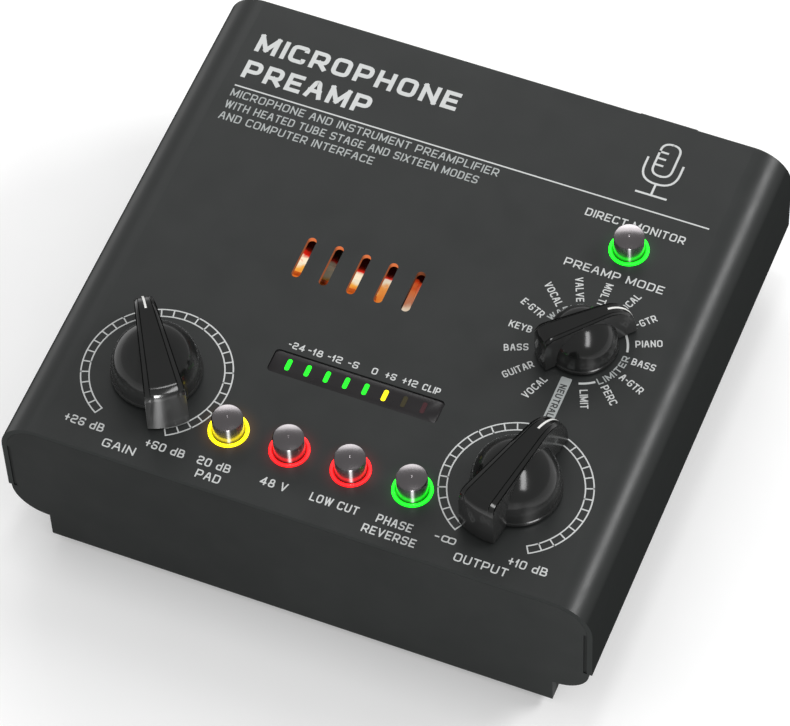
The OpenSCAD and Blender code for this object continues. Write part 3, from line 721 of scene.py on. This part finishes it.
def getter():
    """The metal film on the inside of the glass, past the end of the plates, with the tube's glow painted on
    it in bands.
    """
    bulb = middle("tube_pins")
    collar = glow_painted_metal("collar_painted_glow", COLLAR_BANDS, -1.0)
    film = glow_painted_metal("getter_painted_glow", FILM_BANDS, -1.0)
    spread = 64
    outline = arc((0, 0), 9.55, -spread, spread) + arc((0, 0), 9.25, spread, -spread)
    for name, near, far, metal in (("getter_collar", -6.3, -3.9, collar), ("getter_film", -3.7, 2.7, film)):
        points, faces = prism(outline, near, far)
        shell = [(p[2], bulb.y + p[0], bulb.z + p[1]) for p in points]
        settle(make(name, (shell, faces), metal), "chassis", "tube_metal")


# ---- Screws, feet and sockets ----

REAR_TURN = Matrix.Rotation(math.radians(-90), 3, "X")


def star(radius, inner, points):
    """A star outline for a driver recess."""
    out = []
    for i in range(2 * points):
        a = math.pi * i / points
        reach = radius if i % 2 else inner
        out.append((reach * math.cos(a), reach * math.sin(a)))
    return out


def screw_head(radius, height, recess):
    """A pan head that stands on Z 0 with its recess at the top."""
    bend = 0.7
    side = height * 0.35
    profile = [(0, -0.2), (radius, -0.2), (radius, side)]
    for i in range(1, 9):
        a = math.radians(90 * i / 8)
        profile.append((radius - bend + bend * math.cos(a), side + (height - side) * math.sin(a)))
    profile.append((0, height))
    return revolve(profile, 48), prism(star(recess, recess * 0.55, 4), height - 0.7, height + 1)


def facing_rear(obj, x, y, z):
    """Turns a piece built upwards so that it looks back, and sets it in place."""
    obj.data.transform(Matrix.Translation(Vector((x, y, z)) * MM) @ REAR_TURN.to_4x4())


def outside_hardware():
    case_screws()
    feet()
    connector_screws()
    jack_fixing()
    rear_sockets()
    seals()


def seals():
    """Strips that close the gaps between the cover's sides and the two panels."""
    half = 0.39
    for node, sign in (("front_panel", 1), ("rear_panel", -1)):
        low, high = box_mm(node)
        face = low.y if sign > 0 else high.y
        near, far = sorted((face + sign * 0.22, face + sign * 1.8))
        strips = []
        for side in (-1, 1):
            edge = side * (HALF - WALL - 0.4)
            strips.append(block((edge - half, near, SEAM + 0.06), (edge + half, far, TOP - SHOULDER - 0.06)))
        settle(make(node + "_seal", merge(*strips), SLOTS["panel_paint"]), "chassis", "panel_paint")


def case_screws():
    low, high = box_mm("case_screws")
    inset = 2.8
    places = [(x, y) for x in (low.x + inset, high.x - inset) for y in (low.y + inset, high.y - inset)]
    for i, (x, y) in enumerate(places):
        head, recess = screw_head(2.75, 1.6, 1.5)
        screw = make("case_screw_%d" % i, head, SLOTS["black_steel"])
        carve(screw, recess)
        shank = revolve([(0, -12), (1.3, -12), (1.4, -11.6), (1.4, -0.1), (0, -0.1)], 24)
        carve(screw, shank, "UNION")
        stand = Matrix.Translation(Vector((x, y, low.z + 2)) * MM)
        screw.data.transform(stand @ Matrix.Rotation(math.pi, 4, "X"))
        settle(screw, "chassis", "black_steel", *([] if i else ["case_screws"]))


def feet():
    """Round feet with a hollow middle and a soft lower rim."""
    low, high = box_mm("rubber_feet")
    inset = 5.4
    side = 5.35
    profile = [(0, 0.25), (2.6, 0.25), (3.0, 0, 0.15), (4.4, 0, 0.3), (4.9, 0.5, 0.3), (side, 1.4, 0.3)]
    profile += [(side, high.z), (0, high.z)]
    points, faces = revolve(soften(profile, steps=3), 64)
    parts = []
    for x in (low.x + inset, high.x - inset):
        for y in (low.y + inset, high.y - inset):
            parts.append(([Vector(p) + Vector((x, y, 0)) for p in points], faces))
    settle(make("feet", merge(*parts), SLOTS["rubber"]), "chassis", "rubber", "rubber_feet")


def connector_screws():
    """Two screws on one diagonal of each connector's flange."""
    low, high = box_mm("connector_screws")
    face = box_mm("combo_jack")[1].y
    flange_half = 13
    across, up = 9.5, 12
    places = [(node, side) for node in ("combo_jack", "xlr_output") for side in (-1, 1)]
    for i, (node, side) in enumerate(places):
        head, recess = screw_head(2.15, high.y - face, 1.25)
        screw = make("connector_screw", head, SLOTS["black_steel"])
        carve(screw, recess)
        shank = revolve([(0, -5.4), (1.15, -5.4), (1.2, -0.1), (0, -0.1)], 24)
        carve(screw, shank, "UNION")
        x = box_mm(node)[0].x + flange_half
        facing_rear(screw, x - side * across, face, (low.z + high.z) / 2 + side * up)
        settle(screw, "chassis", "black_steel", *([] if i else ["connector_screws"]))


def jack_fixing():
    """A six-sided nut with chamfered corners and a bevelled bore."""
    low, high = box_mm("jack_nut")
    spot = middle("jack_nut")
    height = high.y - low.y
    corner = 8
    six = [(corner * math.cos(math.pi * i / 3), corner * math.sin(math.pi * i / 3)) for i in range(6)]
    nut = make("jack_hex", prism(six, 0, height), SLOTS["steel"])
    over = height + 1
    cone = [(0, -1), (9, -1), (9, height - 0.75), (7.1, height), (7.1, over), (0, over)]
    carve(nut, revolve(cone, 64), "INTERSECT")
    bore = [(0, -1), (5.55, -1), (5.55, height - 0.3), (5.9, height + 0.05), (5.9, over), (0, over)]
    carve(nut, revolve(bore, 64))
    shade(nut, 25)
    facing_rear(nut, spot.x, low.y, spot.z)
    settle(nut, "chassis", "steel", "jack_nut")


def rear_sockets():
    """A metal shell with a plastic tongue for the computer port, and a metal pin in the power inlet."""
    low, high = box_mm("usb_port")
    corner = 1.9
    wall = 1.7
    length = high.y - low.y
    depth = 9

    def shape(inset):
        """The outline seen from behind, with its two upper corners cut off."""
        cut = corner - 0.4 * inset
        left, right, foot, top = low.x + inset, high.x - inset, -low.z - inset, inset - high.z
        lower = [(left, foot), (right, foot)]
        return lower + [(right, top + cut), (right - cut, top), (left + cut, top), (left, top + cut)]

    shell = make("usb_shell", prism(shape(0.05), 0, length), SLOTS["steel"])
    carve(shell, prism(shape(wall), length - depth, length + 1))
    soft_edges(shell, 0.12)
    facing_rear(shell, 0, low.y, 0)
    settle(shell, "chassis", "steel", "usb_port")
    centre = middle("usb_port")
    half_w = 2.8
    half_h = 1.6
    slab = block((centre.x - half_w, high.y - depth - 0.05, centre.z - half_h),
                 (centre.x + half_w, high.y - 1.2, centre.z + half_h))
    tongue = make("usb_tongue", slab, SLOTS["black_plastic"])
    soft_edges(tongue, 0.25)
    settle(tongue, "chassis", "black_plastic")
    for z in (centre.z - half_h, centre.z + half_h):
        contacts = [block((x - 0.25, high.y - 8.6, z - 0.08), (x + 0.25, high.y - 1.8, z + 0.08))
                    for x in (centre.x - 1.25, centre.x + 1.25)]
        settle(make("usb_contacts", merge(*contacts), SLOTS["gold"]), "chassis", "gold")
    inlet = middle("power_inlet")
    pin = revolve([(0, 0), (1.06, 0), (1.06, 10.8), (0.95, 11.4), (0.6, 11.85), (0, 12)], 32)
    sleeve = make("inlet_pin", pin, SLOTS["steel"])
    facing_rear(sleeve, inlet.x, box_mm("power_inlet")[1].y - 12.3, inlet.z)
    settle(sleeve, "chassis", "steel")


# ---- Printed ink ----

# Each letter's width as a share of the letter size, and its strokes: pairs of X and Y digits in eighths,
# with c where a stroke closes. The tilde draws the sign for infinity.
FONT = {
    "A": (1.0, "00385880 1373"), "B": (1.0, "0008 08787404 04848000"), "C": (1.0, "878808008081"),
    "D": (1.0, "0008 08888000"), "E": (0.9, "0008 0888 0474 0080"), "F": (0.9, "0008 0888 0474"),
    "G": (1.0, "87880800808454"), "H": (1.0, "0008 8088 0484"), "I": (0.17, "0008"),
    "K": (1.0, "0008 8803 3580"), "L": (0.85, "0800 0080"), "M": (1.2, "0008 0841 4188 8880"),
    "N": (1.0, "0008 0880 8088"), "O": (1.05, "00088880c"), "P": (1.0, "0008 08888303"),
    "R": (1.0, "0008 08888303 4380"), "S": (1.0, "8788080484800001"), "T": (0.95, "0888 4840"),
    "U": (1.0, "08008088"), "V": (1.0, "0840 4088"), "W": (1.35, "0820 2048 4860 6088"),
    "X": (1.0, "0880 0088"), "Y": (1.0, "0844 8844 4440"), "0": (0.95, "00088880c"), "1": (0.38, "0588 8880"),
    "2": (0.95, "07088884040080"), "4": (1.0, "6068 6802 0282"), "6": (0.95, "87880800808404"),
    "8": (0.95, "14187874c 00048480c"), "d": (0.9, "8880 85050080"), "-": (0.5, "0484"),
    "+": (0.72, "0484 4147"),
    "~": (1.6, "01074741c 41478781c"), " ": (0.35, ""),
}
# Gap between letters, as a share of the letter size.
SPACE = 0.26


def word_length(text, letter):
    return letter * (sum(FONT[c][0] for c in text) + SPACE * (len(text) - 1))


def word(text, letter, height, weight):
    """Strokes of a word that starts at the origin, as (points, closed) pairs."""
    strokes = []
    x = 0
    for sign in text:
        share, drawing = FONT[sign]
        width = share * letter
        for stroke in drawing.split():
            closed = stroke.endswith("c")
            digits = stroke.rstrip("c")
            line = []
            for k in range(0, len(digits), 2):
                px = x + weight / 2 + int(digits[k]) / 8 * max(0, width - weight)
                py = weight / 2 + int(digits[k + 1]) / 8 * (height - weight)
                line.append((px, py, height * 0.22))
            strokes.append((soften(line, closed, 4), closed))
        x += width + SPACE * letter
    return strokes


def placed(strokes, x, y, angle=0.0):
    spin = Matrix.Rotation(math.radians(angle), 2)
    return [([spin @ p + Vector((x, y)) for p in line], closed) for line, closed in strokes]


def ribbon(line, closed, width, low, high):
    """A flat strip of ink along a line, with square ends."""
    count = len(line)
    points = []
    for i, here in enumerate(line):
        into = here - line[i - 1] if (closed or i > 0) else line[1] - here
        away = line[(i + 1) % count] - here if (closed or i < count - 1) else here - line[i - 1]
        into = into.normalized()
        away = away.normalized()
        normal = Vector((-into.y - away.y, into.x + away.x)).normalized()
        reach = width / 2 / max(0.8, normal.dot(Vector((-into.y, into.x))))
        shift = Vector((0, 0))
        if not closed and i == 0:
            shift = -away * width / 2
        if not closed and i == count - 1:
            shift = into * width / 2
        left = here + normal * reach + shift
        right = here - normal * reach + shift
        points += [(*left, high), (*right, high), (*right, low), (*left, low)]
    faces = []
    for k in range(count if closed else count - 1):
        n = (k + 1) % count
        for i in range(4):
            j = (i + 1) % 4
            faces.append([4 * k + i, 4 * k + j, 4 * n + j, 4 * n + i])
    if not closed:
        faces += [[0, 1, 2, 3], [4 * count - 4 + i for i in (3, 2, 1, 0)]]
    return points, faces


# The ink starts just under the paint and stands a hair above it. Crossing strokes differ by a step.
INK_LOW = -0.02
INK_HIGH = 0.03
INK_STEP = 0.0015
# Width of the strokes round the mode dial.
MODE_WEIGHT = 0.27


def print_ink(name, strokes, weight, finish, extra=(), level=TOP):
    """One printed piece from many strokes."""
    parts = list(extra)
    for i, (line, closed) in enumerate(strokes):
        high = level + INK_HIGH + INK_STEP * (i % 6)
        parts.append(ribbon(line, closed, weight, level + INK_LOW, high))
    obj = make(name, merge(*parts), finish, 60)
    return settle(obj, "chassis", "pointer_white")


def fitted(text, left, right, base, height, weight):
    """A word printed between two X places, with base its distance from the front edge."""
    letter = (right - left) / word_length(text, 1)
    return placed(word(text, letter, height, weight), left, FRONT + base)


def control_legends():
    weight = 0.31
    # Word, its left and right ends, and its distance from the front edge.
    words = [
        ("+26 dB", -54.3, -45.3, 5.2), ("+60 dB", -35.6, -26.7, 5.2), ("GAIN", -44.2, -36.8, 2.1),
        ("20 dB", -23.7, -16.2, 5.2), ("PAD", -22.7, -17.2, 2.0), ("48 V", -9.3, -3.3, 5.2),
        ("LOW CUT", 2.0, 12.8, 5.2), ("PHASE", 17.0, 24.9, 5.2), ("REVERSE", 15.0, 26.9, 2.0),
        ("-~", 29.9, 34.6, 5.4), ("+10 dB", 46.4, 55.0, 5.2), ("OUTPUT", 35.5, 47.3, 2.2),
        ("PREAMP MODE", 30.2, 52.9, 80.5), ("DIRECT MONITOR", 29.8, 52.7, 94.5)]
    strokes = []
    for text, left, right, base in words:
        strokes += fitted(text, left, right, base, 2.05, weight)
    print_ink("legend_controls", strokes, weight, INK)


def meter_legends():
    weight = 0.28
    words = [
        ("-24", -17.1, -13.4), ("-18", -12.6, -9.2), ("-12", -8.1, -4.8), ("-6", -3.4, -1.0),
        ("0", 2.1, 3.35), ("+6", 5.2, 7.6), ("+12", 9.1, 12.5), ("CLIP", 13.7, 17.7)]
    strokes = []
    for text, left, right in words:
        strokes += fitted(text, left, right, 39.3, 1.7, weight)
    print_ink("legend_meter", strokes, weight, INK)


def mode_names():
    """Fifteen names that stand out from the mode dial like rays. The first eight read inwards."""
    spot = middle("mode_shaft")
    letter = 1.1
    height = 1.75
    near = 11.4
    words = [
        "VOCAL", "GUITAR", "BASS", "KEYB", "E-GTR", "VOCAL", "VALVE", "MULTI",
        "VOCAL", "A-GTR", "PIANO", "BASS", "A-GTR", "PERC", "LIMIT"]
    strokes = []
    for i, text in enumerate(words):
        turn = math.radians(22.5 * (i + 1))
        out = Vector((-math.sin(turn), -math.cos(turn)))
        length = word_length(text, letter)
        inwards = i < 8
        along = -out if inwards else out
        start = out * (near + length if inwards else near)
        start -= Vector((-along.y, along.x)) * height / 2
        angle = math.degrees(math.atan2(along.y, along.x))
        strokes += placed(word(text, letter, height, MODE_WEIGHT), spot.x + start.x, spot.y + start.y, angle)
    print_ink("legend_modes", strokes, MODE_WEIGHT, INK)


def mode_ring():
    """The ring inside the names: two bent words and the arcs between them."""
    spot = middle("mode_shaft")
    ring = 9.9
    strokes = []
    for text, first, last, outward in [("LIMITER", 140, 88, False), ("WARM", -66, -27, True)]:
        step = (last - first) / (word_length(text, 1) - SPACE)
        turn = first
        for sign in text:
            share = FONT[sign][0]
            middle_turn = math.radians(turn + step * share / 2)
            turn += step * (share + SPACE)
            out = Vector((math.sin(middle_turn), math.cos(middle_turn)))
            up = out if outward else -out
            along = Vector((up.y, -up.x))
            letter = abs(math.radians(step)) * ring
            start = out * ring - along * letter * share / 2 - up * 0.8
            angle = math.degrees(math.atan2(along.y, along.x))
            strokes += placed(word(sign, letter, 1.6, MODE_WEIGHT), spot.x + start.x, spot.y + start.y, angle)
    print_ink("ring_words", strokes, MODE_WEIGHT, INK_GREY)
    stretches = [(162, 144), (78, 6), (-80, -98), (-23, -8)]
    arcs = [(arc(spot, ring - 0.1, start, end, 3), False) for start, end in stretches]
    print_ink("mode_arcs", arcs, 0.5, INK)


def neutral_patch():
    """The sixteenth name: dark letters on a pale patch."""
    spot = middle("mode_shaft")
    half = 1.2
    patch = block((spot.x - half, FRONT + 41.3, TOP + INK_LOW),
                  (spot.x + half, FRONT + 53.1, TOP + INK_HIGH), 0.3)
    print_ink("neutral_box", [], MODE_WEIGHT, INK_GREY, [patch])
    neutral = placed(word("NEUTRAL", 1.06, 1.5, MODE_WEIGHT), spot.x - 0.75, FRONT + 51.2, -90)
    print_ink("neutral_word", neutral, MODE_WEIGHT, INK_DARK, level=TOP + INK_HIGH)


def dial_scale(name):
    """Two arcs with 31 marks between them."""
    spot = middle(name + "_shaft")
    centre = Vector((spot.x, spot.y))
    outer = 16.3
    inner = 14.5
    end = 150
    strokes = [(arc(spot, r, -end, end, 3), False) for r in (outer, inner)]
    for k in range(31):
        a = math.radians(-end + 10 * k)
        out = Vector((math.sin(a), math.cos(a)))
        strokes.append(([centre + out * inner, centre + out * outer], False))
    print_ink(name + "_scale", strokes, 0.3, INK)


def title_block():
    left = -55.3
    rule = FRONT + 100.4
    print_ink("rule_line", [([Vector((left, rule)), Vector((56.3, rule))], False)], 0.35, INK)
    bold = 1.05
    strokes = fitted("MICROPHONE", left, -7.0, 110.8, 5.0, bold)
    strokes += fitted("PREAMP", left, -25.0, 103.0, 5.0, bold)
    print_ink("title", strokes, bold, INK)
    lines = [
        ("MICROPHONE AND INSTRUMENT PREAMPLIFIER", 8.3, 97.3),
        ("WITH HEATED TUBE STAGE AND SIXTEEN MODES", 4.8, 93.9),
        ("AND COMPUTER INTERFACE", -18.6, 90.6)]
    fine = 0.29
    strokes = []
    for text, right, base in lines:
        strokes += fitted(text, left - 0.1, right, base, 2.1, fine)
    print_ink("description", strokes, fine, INK_GREY)


def emblem():
    """A plain microphone sign."""
    x = 41.5
    low = FRONT + 103.5
    r = 2.2
    wide = 4.1
    stem = low + 4.2
    foot = low + 6.5
    crown = low + 15.5
    arms = low + 10.5
    capsule = [(x - r, foot, r), (x + r, foot, r), (x + r, crown, r), (x - r, crown, r)]
    yoke = [(x - wide, arms), (x - wide, stem, wide), (x + wide, stem, wide), (x + wide, arms)]
    strokes = [(soften(capsule, closed=True, steps=8), True), (soften(yoke, steps=8), False)]
    strokes.append(([Vector((x, stem)), Vector((x, low + 1.4))], False))
    strokes.append(([Vector((x - 3.4, low + 1.0)), Vector((x + 3.4, low + 1.0))], False))
    for k in range(3):
        y = low + 9.3 + 1.8 * k
        strokes.append(([Vector((x - r, y)), Vector((x - 0.4, y))], False))
    print_ink("emblem", strokes, 0.5, INK)


# ---- Setting ----

def softbox(name, towards, size, radiance, along=(0, 1, 0), only=(), flagged=(), distance=2.0):
    """A soft light from one direction. It can be kept to some pieces (only) or off others (flagged)."""
    light = bpy.data.lights.new(name, "AREA")
    light.shape = "RECTANGLE"
    light.size, light.size_y = size
    light.energy = radiance * math.pi * size[0] * size[1]
    obj = bpy.data.objects.new(name, light)
    bpy.context.scene.collection.objects.link(obj)
    if only or flagged:
        chosen = bpy.data.collections.new(name + "_pieces")
        for piece in only or flagged:
            chosen.objects.link(piece)
        for entry in chosen.collection_objects:
            entry.light_linking.link_state = "INCLUDE" if only else "EXCLUDE"
        obj.light_linking.receiver_collection = chosen
    back = Vector(towards).normalized()
    side = Vector(along).cross(back).normalized()
    turn = Matrix((side, back.cross(side), back)).transposed()
    obj.matrix_world = Matrix.Translation(back * distance + Vector((0, 0, 0.04))) @ turn.to_4x4()
    return obj


def setting():
    scene = bpy.context.scene
    floor_mesh = bpy.data.meshes.new("floor")
    reach = 3.0
    corners = [(-reach, -reach, 0), (reach, -reach, 0), (reach, reach, 0), (-reach, reach, 0)]
    floor_mesh.from_pydata(corners, [], [[0, 1, 2, 3]])
    floor = bpy.data.objects.new("floor", floor_mesh)
    scene.collection.objects.link(floor)
    pale = surface("floor", (0.86, 0.86, 0.86), 0.22, vary=0.01, grain=60, bump=0.0, smudge=0.01)
    shader = pale.node_tree.nodes["Principled BSDF"]
    plug(pale.node_tree, shader, {"Emission Color": (1, 1, 1, 1), "Emission Strength": 0.25})
    floor_mesh.materials.append(pale)
    world = bpy.data.worlds.new("studio")
    scene.world = world
    world.use_nodes = True
    plug(world.node_tree, world.node_tree.nodes["Background"], {"Color": (1, 1, 1, 1), "Strength": 0.6})
    case = [NODES["front_panel"], NODES["bottom_tray"]]
    knobs = [bpy.data.objects[name + "_grip"] for name in ("gain", "output", "mode")]
    caps = [bpy.data.objects[name + "_cap"] for name in BUTTONS]
    softbox("overhead", (-0.015, 0.115, 1.0), (0.22, 0.5), 14)
    softbox("right_shoulder", (0.687, 0.513, 0.512), (0.42, 1.1), 13, flagged=knobs + caps)
    softbox("left_shoulder", (-0.615, 0.513, 0.599), (0.4, 0.8), 0.7, flagged=knobs + caps)
    softbox("rear", (-0.26, 0.77, 0.58), (1.2, 0.5), 4, (0, 0, 1), flagged=knobs)
    softbox("cap_rim", (-0.26, 0.70, 0.66), (1.2, 0.45), 5, (0, 0, 1), only=caps)
    softbox("front", (0.405, -0.895, 0.2), (0.5, 0.8), 1, (0, 0, 1), flagged=knobs + caps)
    softbox("front_right", (0.65, -0.76, 0.15), (0.1, 0.1), 16, (0, 0, 1), only=case, distance=0.3)
    softbox("cap_streak", (0.39, -0.92, 0.25), (0.45, 1.0), 70, (0, 0, 1), only=caps)
    softbox("knob_streak", (0.39, -0.92, 0.2), (0.3, 0.8), 70, (0, 0, 1), only=knobs[:1])
    softbox("key", (0.50, -0.37, 0.78), (0.45, 1.7), 14, (-0.3, 0.77, 0.56), only=knobs)
    scene.view_settings.view_transform = "Standard"
    scene.view_settings.look = "None"


def camera():
    data = bpy.data.cameras.new("camera")
    data.sensor_width = 36
    data.lens = 207.10
    data.shift_x = -0.0104
    data.shift_y = -0.0005
    obj = bpy.data.objects.new("camera", data)
    bpy.context.scene.collection.objects.link(obj)
    right = Vector((0.92709, 0.37373, -0.02879))
    up = Vector((-0.29401, 0.77266, 0.56263))
    back = Vector((0.23251, -0.51314, 0.82621))
    turn = Matrix((right, up, back)).transposed()
    obj.matrix_world = Matrix.Translation((0.23253, -0.51625, 0.84102)) @ turn.to_4x4()
    bpy.context.scene.camera = obj


dress_nodes()
dial("gain", -34, True)
dial("output", 15, True)
dial("mode", 45, False)
for name, colour in BUTTONS.items():
    button(name, colour)
meter()
control_legends()
meter_legends()
mode_names()
mode_ring()
neutral_patch()
dial_scale("gain")
dial_scale("output")
title_block()
emblem()
getter()
outside_hardware()
setting()
camera()
